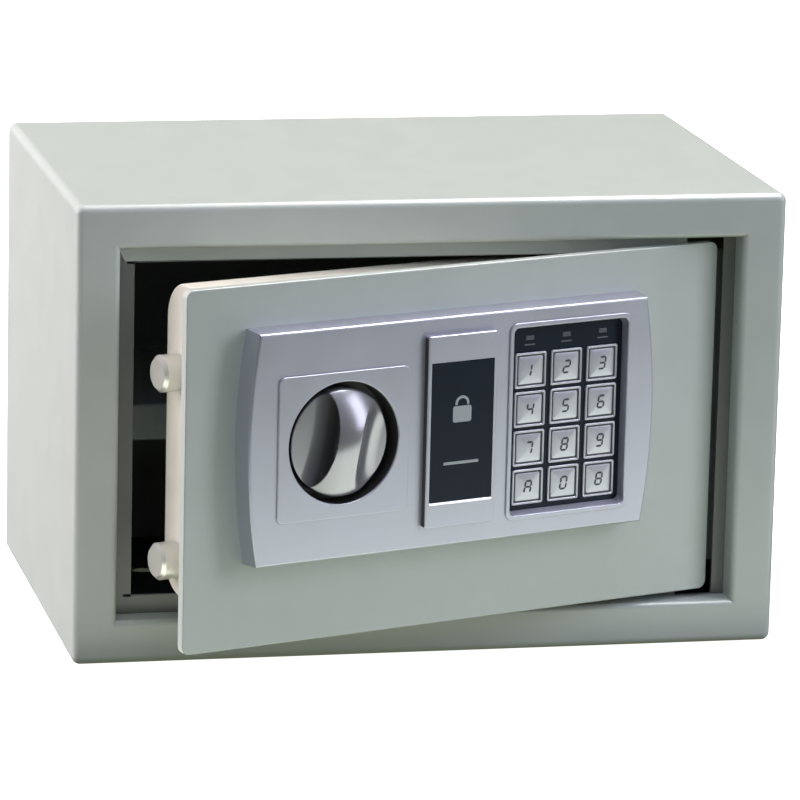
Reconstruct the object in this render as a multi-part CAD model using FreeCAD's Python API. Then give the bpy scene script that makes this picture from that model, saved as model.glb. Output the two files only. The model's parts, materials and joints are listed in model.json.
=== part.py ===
import FreeCAD, Part
import math
import os
from FreeCAD import Vector

# Electronic guest-room safe, millimetres.
# Origin: middle of the underside. +X along the width, +Y towards the back, +Z up; the door faces -Y.
# The door and everything on it is drawn shut, then turned open about the hinge line.

# ---- case ----
CASE_W = 310.0
CASE_H = 200.0
CASE_D = 200.0
SHEET = 2.0
FOLD_R = 3.5
FRAME = 19.0           # width of the front frame round the opening
LIP_R = 2.5
JAMB = 12.3            # depth of the recess that takes the door plate
STOP = 8.0             # height of the door stop, top, bottom and bolt side
STOP_HINGE = 5.5       # the same on the hinge side, where the plate's edge swings through
ANCHOR_R = 5.0
FLOOR_ANCHOR = (200.0, 90.0)
BACK_ANCHOR_X = 200.0
BACK_ANCHOR_Z = 140.0
SHELF_FRONT = -20.0
SHELF_TOP = 95.2
SHELF_T = 1.5
SHELF_LIP = 16.3
SHELF_HALF_W = 151.0
SHELF_BACK = 95.0
RAIL_FRONT = -15.0
RAIL_BACK = 90.0
RAIL_DROP = 15.0
RAIL_LEDGE = 14.0
RAIL_T = 1.5
MAT_T = 2.5
MAT_HALF_W = 150.0
MAT_FRONT = -82.0
MAT_BACK = 96.0
MAT_HOLE_R = 11.0
CHANNEL_Z = (30.0, 170.0)
STRIKE_END = -127.5    # free edge of the strike, past the bolts' tips
STRIKE_Y = -56.0
STRIKE_T = 2.0
STRIKE_LEG = -38.0
GUARD_END = 112.0
GUARD_T = 1.2
GUARD_LEG = -52.0

# ---- door ----
PLATE_W = 259.5
PLATE_H = 155.0
PLATE_T = 4.0
PLATE_R = 3.5
PLATE_LEFT = -134.7
PLATE_FRONT = -92.0
HINGE_X = 120.0
HINGE_Y = -83.5
DOOR_OPEN = 17.8       # how far the door stands open in the stored pose, degrees
PIN_R = 2.0
HINGE_NOTCH = 114.0    # the top and bottom stops end here, clear of the plate's swinging edge
RUN = 0.05             # radial running clearance
GUARD_Y = -70.0        # front face of the guard strip behind the hinges
LUG_Z = (163.0, 34.0)
LUG_T = 3.0
LUG_R = 4.2
LUG_ARM = 2.4
BRACKET_Z = (159.0, 37.6)
BRACKET_T = 3.4
BRACKET_R = 4.5
BRACKET_END = 104.0
PIN_Z = (157.5, 34.2)
PIN_L = 8.3
PIN_HEAD_R = 3.4
PIN_HEAD_T = 1.5
WASHER_Z = (162.4, 37.05)
WASHER_T = 0.55

# ---- lock box on the back of the door ----
BOX_LEFT = -112.4
BOX_RIGHT = 95.0
BOX_BACK = -32.0
BOX_BOTTOM = 34.0
BOX_TOP = 170.0
BOX_T = 1.5
BOX_R = 16.0
TAB_X = (-60.0, 60.0)
TAB_W = 16.0
TAB_T = 2.0
TAB_Y = -80.0          # screw line of the lock box
SCREW_R = 1.5
SCREW_HEAD = 1.6
BATTERY_X = 50.0
BATTERY_Z = 124.0
BATTERY_MOUTH = (62.0, 50.0)
TRAY_W = 64.0
TRAY_H = 56.0
TRAY_Y = (-52.0, -33.5)
CELL_R = 7.1
CELL_L = 48.4
CELL_Y = -43.0
CELL_PITCH = 15.5
RESET = (70.0, 62.0)
RESET_R = 4.0
PCB = (12.0, 90.0, 46.0, 156.0)
PCB_Y = -80.0
PCB_T = 1.6

# ---- bolt work ----
BOLT_R = 8.0
BOLT_L = 48.0
BOLT_TIP = -122.4
BOLT_Y = -43.0
BOLT_Z = (50.0, 131.5)
BOLT_THROW = 16.0
CRANK_R = 11.31
CRANK_AT = math.radians(45)
PIN_SLOT_R = 3.0
BUSH_R = 9.2
CAM_R = 15.0
CAM_FRONT = -66.0
CAM_BACK = -63.0
GUIDE_X = (-96.0, -94.0)
GUIDE_Z = (40.0, 142.0)
BAR_T = 4.0
BAR_Y = (-52.0, -36.0)
BAR_Z = (41.0, 141.5)
BAR_RIVET_Z = (107.0, 120.0)
RIVET_R = 2.1
PLATE_STOCK = 2.0
STUD_R = 3.0
SOLENOID_Z = 78.0
SOLENOID_HALF = 10.0
SOLENOID_BACK = -60.0
SOLENOID_T = 1.5
COIL_R = 8.3
PLUNGER_R = 3.0
PLUNGER_Y = (-82.0, -54.0)

# ---- front panel ----
BEZEL_X = -11.7
BEZEL_Z = 109.2
BEZEL_W = 188.5
BEZEL_H = 98.9
BEZEL_T = 11.0
BEZEL_BOW = 4.5        # how far the two ends bow outwards
BEZEL_WALL = 2.5
BOSS_R = 4.2
DRAFT = 0.8
RAISED = 0.8           # height of the knob's square pad and the keypad's rim above the face
PAD = 62.5
PAD_R = 3.0
PAD_DROP = 0.8         # the pad's middle lies this far below the knob's

# ---- knob ----
KNOB_X = -66.0
KNOB_Z = 109.4
KNOB_R = 22.8
KNOB_TOP = 17.5        # crown of the knob above the door plate
KNOB_FLOOR = 8.0       # the scooped sides' floor above the door plate
KNOB_GAP = 0.8
DOME_R = 39.0
SCOOP_X = 53.2
SCOOP_R = 46.6
SCOOP_FILLET = 8.0
WELL_R = 26.2
KNOB_TILT = 11.2
SPINDLE_R = 4.0
SPINDLE_END = 12.0
SPINDLE_BUSH_R = 6.2
CAM_SCREW_R = 1.6

# ---- emergency lock cover ----
COVER_X = -10.35
COVER_Z = 110.0
COVER_W = 34.0
COVER_H = 82.9
COVER_T = 3.0
BADGE_W = 30.4
BADGE_H = 60.4
BADGE_DROP = 0.4
BADGE_RECESS = 0.8
COVER_PEG = 34.0       # the two pegs lie this far above and below the cover's middle
PEG_W = 8.0
PEG_T = 1.6
LOCK_HOLE_R = 12.0
BARREL_R = 8.0
PLUG_R = 5.0
PLUG_BACK = -71.0
NUT_R = 12.0
NUT_T = 4.0

# ---- keypad ----
KEYPAD_X = 44.4
KEYPAD_Z = 109.9
KEYPAD_W = 57.1        # mouth of the recess
KEYPAD_H = 82.1
KEYPAD_FLOOR_W = 56.2
KEYPAD_FLOOR_H = 79.5
KEYPAD_RIM = 2.0
KEYPAD_MOUTH_R = 2.5
OVERLAY_FRONT = 7.3    # height of the overlay above the door plate
KEY_PITCH_X = 17.8
KEY_PITCH_Z = 17.0
KEY_ROW_TOP = 131.2
KEY_CAP = 11.9
KEY_RIM = 15.4
KEY_GROOVE = 13.5
KEY_TRAVEL = 1.0
CAP_H = 1.1            # the caps stand this far in front of and behind the overlay's face
RIM_H = 0.9
KEY_FLANGE = 0.8
KEY_FLANGE_T = 1.0
MAT_FILM = 0.6
KEYPAD_PCB_T = 1.1
LED_W = 4.0
LED_H = 1.8
LED_PITCH = 18.2
LED_Z = 145.2
KEY_NAMES = ("1", "2", "3", "4", "5", "6", "7", "8", "9", "a", "0", "b")

FRONT = -CASE_D / 2
BACK = CASE_D / 2
MID_Z = CASE_H / 2
INNER_X = CASE_W / 2 - SHEET
OPEN_X = CASE_W / 2 - FRAME
OPEN_Z0 = FRAME
OPEN_Z1 = CASE_H - FRAME
STOP_Y = FRONT + JAMB
FACE_Y = PLATE_FRONT - BEZEL_T
COVER_Y = FACE_Y - COVER_T
OVERLAY_Y = PLATE_FRONT - OVERLAY_FRONT
PLATE_RIGHT = PLATE_LEFT + PLATE_W
PLATE_BACK = PLATE_FRONT + PLATE_T
X = Vector(1, 0, 0)
Y = Vector(0, 1, 0)
Z = Vector(0, 0, 1)


def box(x0, x1, y0, y1, z0, z1):
    return Part.makeBox(x1 - x0, y1 - y0, z1 - z0, Vector(x0, y0, z0))


def centred(cx, cz, w, h, y0, y1):
    return box(cx - w / 2, cx + w / 2, y0, y1, cz - h / 2, cz + h / 2)


def rod(x, y, z, axis, r, length):
    return Part.makeCylinder(r, length, Vector(x, y, z), axis)


def along_y(x, z, r, y0, y1):
    return rod(x, y0, z, Y, r, y1 - y0)


def tube_y(x, z, r_out, r_in, y0, y1):
    return along_y(x, z, r_out, y0, y1).cut(along_y(x, z, r_in, y0 - 1, y1 + 1))


def join(shapes):
    whole = shapes[0].multiFuse(list(shapes[1:])) if len(shapes) > 1 else shapes[0]
    return whole.removeSplitter()


def edges(shape, test):
    return [e for e in shape.Edges if test(e)]


def runs(edge, axis):
    if len(edge.Vertexes) < 2 or edge.Curve.TypeId != "Part::GeomLine":
        return False
    d = edge.Vertexes[1].Point - edge.Vertexes[0].Point
    return d.Length > 1e-6 and abs(abs(d.normalize().dot(axis)) - 1) < 1e-6


def at(edge, axis, value):
    return abs(edge.CenterOfMass.dot(axis) - value) < 1e-3


def rounded(shape, r, axis):
    return shape.makeFillet(r, edges(shape, lambda e: runs(e, axis)))


def front_round(shape, r, y):
    return shape.makeFillet(r, edges(shape, lambda e: at(e, Y, y)))


def bowed_face(w, h, bow, y):
    """Outline with straight top and bottom and two ends bowed outwards, as a flat face at y."""
    x0, x1 = BEZEL_X - w / 2, BEZEL_X + w / 2
    z0, z1 = BEZEL_Z - h / 2, BEZEL_Z + h / 2
    right = Part.Arc(Vector(x1, y, z0), Vector(x1 + bow, y, BEZEL_Z), Vector(x1, y, z1)).toShape()
    left = Part.Arc(Vector(x0, y, z1), Vector(x0 - bow, y, BEZEL_Z), Vector(x0, y, z0)).toShape()
    top = Part.makeLine(Vector(x1, y, z1), Vector(x0, y, z1))
    bottom = Part.makeLine(Vector(x0, y, z0), Vector(x1, y, z0))
    return Part.Wire([right, top, left, bottom])


def rounded_wire(cx, cz, w, h, r, y):
    """Rectangle with rounded corners in the plane at y."""
    parts = []
    for quarter in range(4):
        sx = 1 if quarter in (0, 3) else -1
        sz = 1 if quarter in (0, 1) else -1
        middle = Vector(cx + sx * (w / 2 - r), y, cz + sz * (h / 2 - r))
        turn = [math.radians(90 * quarter + a) for a in (0, 45, 90)]
        arc = [middle + Vector(r * math.cos(a), 0, r * math.sin(a)) for a in turn]
        if parts:
            parts.append(Part.makeLine(parts[-1].Vertexes[-1].Point, arc[0]))
        parts.append(Part.Arc(*arc).toShape())
    parts.append(Part.makeLine(parts[-1].Vertexes[-1].Point, parts[0].Vertexes[0].Point))
    return Part.Wire(parts)


def lead(points, r):
    """A round wire on straight runs joined by tangent arcs at the inner points."""
    pts = [Vector(*p) for p in points]
    path = []
    start = pts[0]
    for before, corner, after in zip(pts, pts[1:], pts[2:]):
        run_in, run_out = before - corner, after - corner
        reach = 0.45 * min(run_in.Length, run_out.Length)
        a = corner + run_in.normalize() * reach
        b = corner + run_out.normalize() * reach
        half = (run_in + run_out).normalize()
        opening = math.acos(max(-1.0, min(1.0, run_in.dot(run_out)))) / 2
        radius = reach * math.tan(opening)
        middle = corner + half * (reach / math.cos(opening) - radius)
        path.append(Part.makeLine(start, a))
        path.append(Part.Arc(a, middle, b).toShape())
        start = b
    path.append(Part.makeLine(start, pts[-1]))
    ring = Part.Wire([Part.makeCircle(r, pts[0], pts[1] - pts[0])])
    return Part.Wire(path).makePipeShell([ring], True, True)


# ---------------------------------------------------------------- case

def floor_anchors():
    return [(sx * FLOOR_ANCHOR[0] / 2, sy * FLOOR_ANCHOR[1] / 2) for sx in (-1, 1) for sy in (-1, 1)]


def case_shell():
    outer = box(-CASE_W / 2, CASE_W / 2, FRONT, BACK - SHEET, 0, CASE_H)
    outer = rounded(outer, FOLD_R, Y)
    outer = front_round(outer, FOLD_R - 0.2, FRONT)
    inner = box(-INNER_X, INNER_X, FRONT + SHEET, BACK, SHEET, CASE_H - SHEET)
    inner = rounded(inner, FOLD_R - SHEET, Y)
    shell = outer.cut(inner)
    jamb = box(-OPEN_X - SHEET, OPEN_X + SHEET, FRONT + SHEET, STOP_Y + SHEET, OPEN_Z0 - SHEET, OPEN_Z1 + SHEET)
    shell = shell.fuse(jamb)
    shell = shell.cut(box(-OPEN_X, OPEN_X, FRONT - 1, STOP_Y, OPEN_Z0, OPEN_Z1))
    shell = shell.cut(box(-OPEN_X + STOP, OPEN_X - STOP_HINGE, STOP_Y - 1, STOP_Y + SHEET + 1,
                          OPEN_Z0 + STOP, OPEN_Z1 - STOP))
    shell = shell.cut(box(HINGE_NOTCH, OPEN_X - STOP_HINGE, STOP_Y - 1, STOP_Y + SHEET + 1, OPEN_Z0, OPEN_Z1))
    shell = shell.removeSplitter()
    lip = edges(shell, lambda e: at(e, Y, FRONT) and abs(e.CenterOfMass.x) < OPEN_X + 0.1
                and OPEN_Z0 - 0.1 < e.CenterOfMass.z < OPEN_Z1 + 0.1)
    shell = shell.makeFillet(LIP_R, lip)
    # relief slots where the folded stop strips meet at the bolt-side corners
    for z in (OPEN_Z0 + STOP, OPEN_Z1 - STOP):
        shell = shell.cut(box(-OPEN_X + STOP - 3.5, -OPEN_X + STOP + 0.1, STOP_Y - 0.5, STOP_Y + SHEET + 0.5,
                              z - 0.6, z + 0.6))
    for x, y in floor_anchors():
        shell = shell.cut(rod(x, y, -1, Z, ANCHOR_R, SHEET + 2))
    return shell


def back_panel():
    panel = rounded(box(-CASE_W / 2, CASE_W / 2, BACK - SHEET, BACK, 0, CASE_H), FOLD_R, Y)
    for sx in (-1, 1):
        panel = panel.cut(along_y(sx * BACK_ANCHOR_X / 2, BACK_ANCHOR_Z, ANCHOR_R, BACK - SHEET - 1, BACK + 1))
    return panel


def side_channels():
    """Strike behind the stop on the bolt side and guard strip behind the hinges, welded to the side walls."""
    strike_back = STRIKE_Y + STRIKE_T
    guard_back = GUARD_Y + GUARD_T
    strike = box(-INNER_X, STRIKE_END, STRIKE_Y, strike_back, *CHANNEL_Z)
    strike_leg = box(-INNER_X, -INNER_X + STRIKE_T, strike_back, STRIKE_LEG, *CHANNEL_Z)
    guard = box(GUARD_END, INNER_X, GUARD_Y, guard_back, *CHANNEL_Z)
    guard_leg = box(INNER_X - GUARD_T, INNER_X, guard_back, GUARD_LEG, *CHANNEL_Z)
    return Part.makeCompound([join([strike, strike_leg]), join([guard, guard_leg])])


def case_hinge_lugs():
    """Two slim arms welded to the guard strip; each nose carries one hinge pin hole."""
    made = []
    for z0 in LUG_Z:
        arm = box(GUARD_END, HINGE_X + LUG_ARM, HINGE_Y, GUARD_Y, z0, z0 + LUG_T)
        nose = rod(HINGE_X, HINGE_Y, z0, Z, LUG_R, LUG_T)
        made.append(join([arm, nose]).cut(rod(HINGE_X, HINGE_Y, z0 - 1, Z, PIN_R + RUN, 6)))
    return Part.makeCompound(made)


def shelf():
    top = box(-SHELF_HALF_W, SHELF_HALF_W, SHELF_FRONT, SHELF_BACK, SHELF_TOP - SHELF_T, SHELF_TOP)
    lip = box(-SHELF_HALF_W, SHELF_HALF_W, SHELF_FRONT, SHELF_FRONT + SHELF_T, SHELF_TOP - SHELF_LIP, SHELF_TOP)
    tray = join([top, lip])
    nose = edges(tray, lambda e: runs(e, X) and at(e, Y, SHELF_FRONT))
    return tray.makeFillet(1.0, nose)


def shelf_rails():
    made = []
    under = SHELF_TOP - SHELF_T
    for s in (-1, 1):
        wall_x = sorted((s * INNER_X, s * (INNER_X - RAIL_T)))
        ledge_x = sorted((s * INNER_X, s * (INNER_X - RAIL_LEDGE)))
        wall = box(*wall_x, RAIL_FRONT, RAIL_BACK, under - RAIL_DROP, under)
        ledge = box(*ledge_x, RAIL_FRONT, RAIL_BACK, under - RAIL_T, under)
        made.append(join([wall, ledge]))
    return Part.makeCompound(made)


def floor_mat():
    mat = rounded(box(-MAT_HALF_W, MAT_HALF_W, MAT_FRONT, MAT_BACK, SHEET, SHEET + MAT_T), 4, Z)
    for x, y in floor_anchors():
        mat = mat.cut(rod(x, y, 0, Z, MAT_HOLE_R, SHEET + MAT_T + 1))
    return mat


# ---------------------------------------------------------------- door

OVERLAY_W = KEYPAD_FLOOR_W + 1.6
OVERLAY_H = KEYPAD_FLOOR_H + 2.4
FLANGE_Y = OVERLAY_Y + CAP_H
KEY_MAT_Y = FLANGE_Y + KEY_FLANGE_T + KEY_TRAVEL + 0.1
KEYPAD_PCB_Y = KEY_MAT_Y + MAT_FILM
BEZEL_SCREWS = [(BEZEL_X + sx * 90, BEZEL_Z + sz * 40) for sx in (-1, 1) for sz in (-1, 1)]
RIBBON_X = (39.0, 51.0)
RIBBON_Z = 87.0
RIBBON_T = 0.8


def door_plate():
    plate = box(PLATE_LEFT, PLATE_RIGHT, PLATE_FRONT, PLATE_BACK, MID_Z - PLATE_H / 2, MID_Z + PLATE_H / 2)
    plate = rounded(plate, PLATE_R, Y)
    plate = front_round(plate, 0.5, PLATE_FRONT)
    plate = plate.cut(along_y(KNOB_X, KNOB_Z, SPINDLE_BUSH_R, PLATE_FRONT - 1, PLATE_BACK + 1))
    plate = plate.cut(along_y(COVER_X, COVER_Z, BARREL_R + 0.1, PLATE_FRONT - 1, PLATE_BACK + 1))
    plate = plate.cut(box(RIBBON_X[0] - 2, RIBBON_X[1] + 2, PLATE_FRONT - 1, PLATE_BACK + 1,
                          RIBBON_Z - 2, RIBBON_Z + 2))
    for x, z in BEZEL_SCREWS:
        plate = plate.cut(along_y(x, z, SCREW_R + 0.1, PLATE_FRONT - 1, PLATE_BACK + 1))
    return plate


def hinge_brackets():
    made = []
    for z0 in BRACKET_Z:
        z1 = z0 + BRACKET_T
        arm = box(BRACKET_END, HINGE_X, PLATE_BACK, HINGE_Y + BRACKET_R, z0, z1)
        nose = rod(HINGE_X, HINGE_Y, z0, Z, BRACKET_R, BRACKET_T)
        heel = box(HINGE_X, HINGE_X + 4, PLATE_BACK, HINGE_Y, z0, z1)
        made.append(join([arm, nose, heel]).cut(rod(HINGE_X, HINGE_Y, z0 - 1, Z, PIN_R, 6)))
    return Part.makeCompound(made)


def hinge_pins():
    made = []
    for z0, head_z in ((PIN_Z[0], PIN_Z[0]), (PIN_Z[1], PIN_Z[1] + PIN_L - PIN_HEAD_T)):
        pin = rod(HINGE_X, HINGE_Y, z0, Z, PIN_R, PIN_L)
        made.append(join([pin, rod(HINGE_X, HINGE_Y, head_z, Z, PIN_HEAD_R, PIN_HEAD_T)]))
    return Part.makeCompound(made)


def box_profile(inset, x0, x1, y_back):
    """Side view of the lock box with rounded back corners, drawn from x0 to x1."""
    block = box(x0, x1, PLATE_BACK - 5, y_back, BOX_BOTTOM + inset, BOX_TOP - inset)
    back = edges(block, lambda e: runs(e, X) and at(e, Y, y_back))
    return block.makeFillet(BOX_R - inset, back)


def lock_box():
    outer = box_profile(0, BOX_LEFT, BOX_RIGHT, BOX_BACK)
    rim = edges(outer, lambda e: (at(e, X, BOX_LEFT) or at(e, X, BOX_RIGHT)) and e.CenterOfMass.y > PLATE_BACK - 4)
    outer = outer.makeFillet(1.2, rim)
    inner = box_profile(BOX_T, BOX_LEFT + BOX_T, BOX_RIGHT - BOX_T, BOX_BACK - BOX_T)
    tray = outer.cut(inner)
    tray = tray.common(box(-200, 200, PLATE_BACK, 0, 0, 200))
    for z in BOLT_Z:
        tray = tray.cut(rod(BOX_LEFT - 1, BOLT_Y, z, X, BUSH_R, 4))
    tray = tray.cut(centred(BATTERY_X, BATTERY_Z, *BATTERY_MOUTH, BOX_BACK - 3, BOX_BACK + 1))
    tray = tray.cut(along_y(*RESET, RESET_R + 0.15, BOX_BACK - 3, BOX_BACK + 1))
    for x in TAB_X:
        tray = tray.cut(rod(x, TAB_Y, 0, Z, SCREW_R + 0.2, CASE_H))
    return tray


def box_tabs():
    """Four angle tabs welded to the plate; the lock box screws down onto them."""
    made = []
    for x in TAB_X:
        for top in (True, False):
            edge = BOX_TOP - BOX_T if top else BOX_BOTTOM + BOX_T
            s = -1 if top else 1
            ledge_z = sorted((edge, edge + s * TAB_T))
            foot_z = sorted((edge, edge + s * 13))
            ledge = box(x - TAB_W / 2, x + TAB_W / 2, PLATE_BACK, TAB_Y + 6, *ledge_z)
            foot = box(x - TAB_W / 2, x + TAB_W / 2, PLATE_BACK, PLATE_BACK + 1.5, *foot_z)
            made.append(join([ledge, foot]).cut(rod(x, TAB_Y, ledge_z[0] - 1, Z, SCREW_R, TAB_T + 2)))
    return Part.makeCompound(made)


def box_screws():
    made = []
    for x in TAB_X:
        for edge, s in ((BOX_TOP, 1), (BOX_BOTTOM, -1)):
            head_z, shank_z = (sorted((edge, edge + s * t)) for t in (SCREW_HEAD, -5))
            slot_z = sorted((edge + s * 0.9, edge + s * 2))
            head = rod(x, TAB_Y, head_z[0], Z, 3.0, SCREW_HEAD)
            shank = rod(x, TAB_Y, shank_z[0], Z, SCREW_R - 0.02, 5)
            made.append(join([head, shank]).cut(box(x - 2, x + 2, TAB_Y - 0.4, TAB_Y + 0.4, *slot_z)))
    return made


def nylon_bushes():
    """Two bolt bushes, the spindle bush and the two hinge washers."""
    made = []
    for z in BOLT_Z:
        sleeve = rod(BOX_LEFT, BOLT_Y, z, X, BUSH_R, 12)
        flange = rod(BOX_LEFT + BOX_T, BOLT_Y, z, X, 11.0, 1.5)
        flange = flange.common(box_profile(BOX_T + 0.1, BOX_LEFT, 0, BOX_BACK - BOX_T - 0.1))
        bush = join([sleeve, flange])
        made.append(bush.cut(rod(BOX_LEFT - 1, BOLT_Y, z, X, BOLT_R + RUN, 16)))
    sleeve = along_y(KNOB_X, KNOB_Z, SPINDLE_BUSH_R, PLATE_FRONT, PLATE_BACK + 1.5)
    flange = along_y(KNOB_X, KNOB_Z, 9.0, PLATE_BACK, PLATE_BACK + 1.5)
    made.append(join([sleeve, flange]).cut(along_y(KNOB_X, KNOB_Z, SPINDLE_R + RUN, -95, -80)))
    for z0 in WASHER_Z:
        ring = rod(HINGE_X, HINGE_Y, z0, Z, LUG_R, WASHER_T)
        made.append(ring.cut(rod(HINGE_X, HINGE_Y, z0 - 1, Z, PIN_R + RUN, 3)))
    return Part.makeCompound(made)


def bolt_guide():
    web = box(*GUIDE_X, PLATE_BACK, -38, *GUIDE_Z)
    foot = box(GUIDE_X[0], GUIDE_X[0] + 10, PLATE_BACK, PLATE_BACK + 1.5, 96, GUIDE_Z[1])
    guide = join([web, foot])
    for z in BOLT_Z:
        guide = guide.cut(rod(GUIDE_X[0] - 2, BOLT_Y, z, X, BOLT_R + 0.2, 6))
    return guide


# ---------------------------------------------------------------- bolt work

BAR_X = BOLT_TIP + BOLT_L
BAR_BACK = BAR_X + BAR_T
PIN_X = KNOB_X + CRANK_R * math.sin(CRANK_AT)
PIN_Z_SHUT = KNOB_Z + CRANK_R * math.cos(CRANK_AT)


def bolt_bar():
    bar = rounded(box(BAR_X, BAR_BACK, *BAR_Y, *BAR_Z), 3, X)
    for z in BOLT_Z:
        bar = bar.cut(rod(BAR_X - 1, BOLT_Y, z, X, STUD_R + 0.1, BAR_T + 2))
    for z in BAR_RIVET_Z:
        bar = bar.cut(rod(BAR_X - 1, BOLT_Y, z, X, RIVET_R, BAR_T + 2))
    return bar


def drive_plate():
    """Angle plate on the bolt bar; its upright slot takes the crank pin."""
    flange = box(BAR_BACK, BAR_BACK + PLATE_STOCK, -58.5, -38, 102, 125)
    face = box(BAR_BACK, -46, -58.5, -56, 102, 129)
    plate = join([flange, face])
    slot_low, slot_high = KNOB_Z + 7.6, KNOB_Z + 11.8
    middle = box(PIN_X - PIN_SLOT_R, PIN_X + PIN_SLOT_R, -60, -54, slot_low, slot_high)
    ends = [along_y(PIN_X, z, PIN_SLOT_R, -60, -54) for z in (slot_low, slot_high)]
    plate = plate.cut(join([middle] + ends))
    for z in BAR_RIVET_Z:
        plate = plate.cut(rod(BAR_BACK - 1, BOLT_Y, z, X, RIVET_R, PLATE_STOCK + 4))
    return plate


def bolts():
    made = []
    for z in BOLT_Z:
        bolt = rod(BOLT_TIP, BOLT_Y, z, X, BOLT_R, BOLT_L)
        tip = edges(bolt, lambda e: at(e, X, BOLT_TIP))
        bolt = bolt.makeChamfer(1.5, tip)
        made.append(bolt.cut(rod(BAR_X - 12, BOLT_Y, z, X, STUD_R, 13)))
    return Part.makeCompound(made)


def carriage_screws():
    made = []
    for z in BOLT_Z:
        head = rod(BAR_BACK, BOLT_Y, z, X, 5, 3.5)
        head = head.cut(rod(BAR_BACK + 2, BOLT_Y, z, X, 2.2, 3))
        made.append(join([head, rod(BAR_X - 10, BOLT_Y, z, X, STUD_R - 0.03, 10 + BAR_T)]))
    for z in BAR_RIVET_Z:
        head = rod(BAR_BACK + PLATE_STOCK, BOLT_Y, z, X, 3.6, 2.4)
        made.append(join([head, rod(BAR_X - 1, BOLT_Y, z, X, RIVET_R - 0.05, 1 + BAR_T + PLATE_STOCK)]))
    return Part.makeCompound(made)


def knob():
    """Round knob with a domed face and two scooped sides that leave a waisted grip."""
    back = PLATE_FRONT - KNOB_GAP
    floor_y = PLATE_FRONT - KNOB_FLOOR
    body = along_y(KNOB_X, KNOB_Z, KNOB_R, PLATE_FRONT - KNOB_TOP - 1, back)
    dome = Part.makeSphere(DOME_R, Vector(KNOB_X, PLATE_FRONT - KNOB_TOP + DOME_R, KNOB_Z))
    body = body.common(dome)
    for s in (-1, 1):
        scoop = along_y(KNOB_X + s * SCOOP_X, KNOB_Z, SCOOP_R, floor_y - 20, floor_y)
        floor = edges(scoop, lambda e: at(e, Y, floor_y))
        body = body.cut(scoop.makeFillet(SCOOP_FILLET, floor))
    body.rotate(Vector(KNOB_X, 0, KNOB_Z), Y, KNOB_TILT)
    return body.cut(along_y(KNOB_X, KNOB_Z, SPINDLE_R, PLATE_FRONT - SPINDLE_END, back + 1))


def spindle():
    shaft = along_y(KNOB_X, KNOB_Z, SPINDLE_R, PLATE_FRONT - SPINDLE_END, CAM_BACK)
    collar = along_y(KNOB_X, KNOB_Z, 6.5, PLATE_BACK + 1.6, PLATE_BACK + 3.6)
    return join([shaft, collar]).cut(along_y(KNOB_X, KNOB_Z, CAM_SCREW_R, CAM_BACK - 9, CAM_BACK + 1))


def drive_cam():
    """Disc on the end of the spindle with the crank pin standing out of it."""
    disc = along_y(KNOB_X, KNOB_Z, CAM_R, CAM_FRONT, CAM_BACK)
    hub = along_y(KNOB_X, KNOB_Z, 7.0, CAM_FRONT - 4, CAM_FRONT)
    pin = along_y(PIN_X, PIN_Z_SHUT, 2.5, CAM_BACK, -54.5)
    return join([disc, hub, pin]).cut(along_y(KNOB_X, KNOB_Z, SPINDLE_R, CAM_FRONT - 5, CAM_BACK + 1))


def cam_screw():
    top = CAM_BACK + 2.4
    head = along_y(KNOB_X, KNOB_Z, 4.6, CAM_BACK, top)
    head = head.cut(box(KNOB_X - 5, KNOB_X + 5, top - 0.8, top + 0.6, KNOB_Z - 0.5, KNOB_Z + 0.5))
    return join([head, along_y(KNOB_X, KNOB_Z, CAM_SCREW_R - 0.02, CAM_BACK - 8, CAM_BACK)])


# the plunger drops just behind the bar when the bolts are out
SOL_X = BAR_X - BOLT_THROW + BAR_T + PLUNGER_R + 0.5


def solenoid_frame():
    x0, x1 = SOL_X - SOLENOID_HALF, SOL_X + SOLENOID_HALF
    z0, z1 = SOLENOID_Z - SOLENOID_HALF, SOLENOID_Z + SOLENOID_HALF
    back = box(x0, x1, PLATE_BACK, PLATE_BACK + SOLENOID_T, z0, z1)
    front = box(x0, x1, SOLENOID_BACK - SOLENOID_T, SOLENOID_BACK, z0, z1)
    side = box(x0, x1, PLATE_BACK, SOLENOID_BACK, z0, z0 + SOLENOID_T)
    frame = join([back, front, side])
    return frame.cut(along_y(SOL_X, SOLENOID_Z, PLUNGER_R + 0.15, SOLENOID_BACK - 3, SOLENOID_BACK + 2))


def solenoid_coil():
    return tube_y(SOL_X, SOLENOID_Z, COIL_R, PLUNGER_R + 0.2, PLATE_BACK + SOLENOID_T, SOLENOID_BACK - SOLENOID_T)


def plunger():
    pin = along_y(SOL_X, SOLENOID_Z, PLUNGER_R, *PLUNGER_Y)
    return pin.makeChamfer(0.8, edges(pin, lambda e: at(e, Y, PLUNGER_Y[1])))


# ---------------------------------------------------------------- front panel

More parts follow.
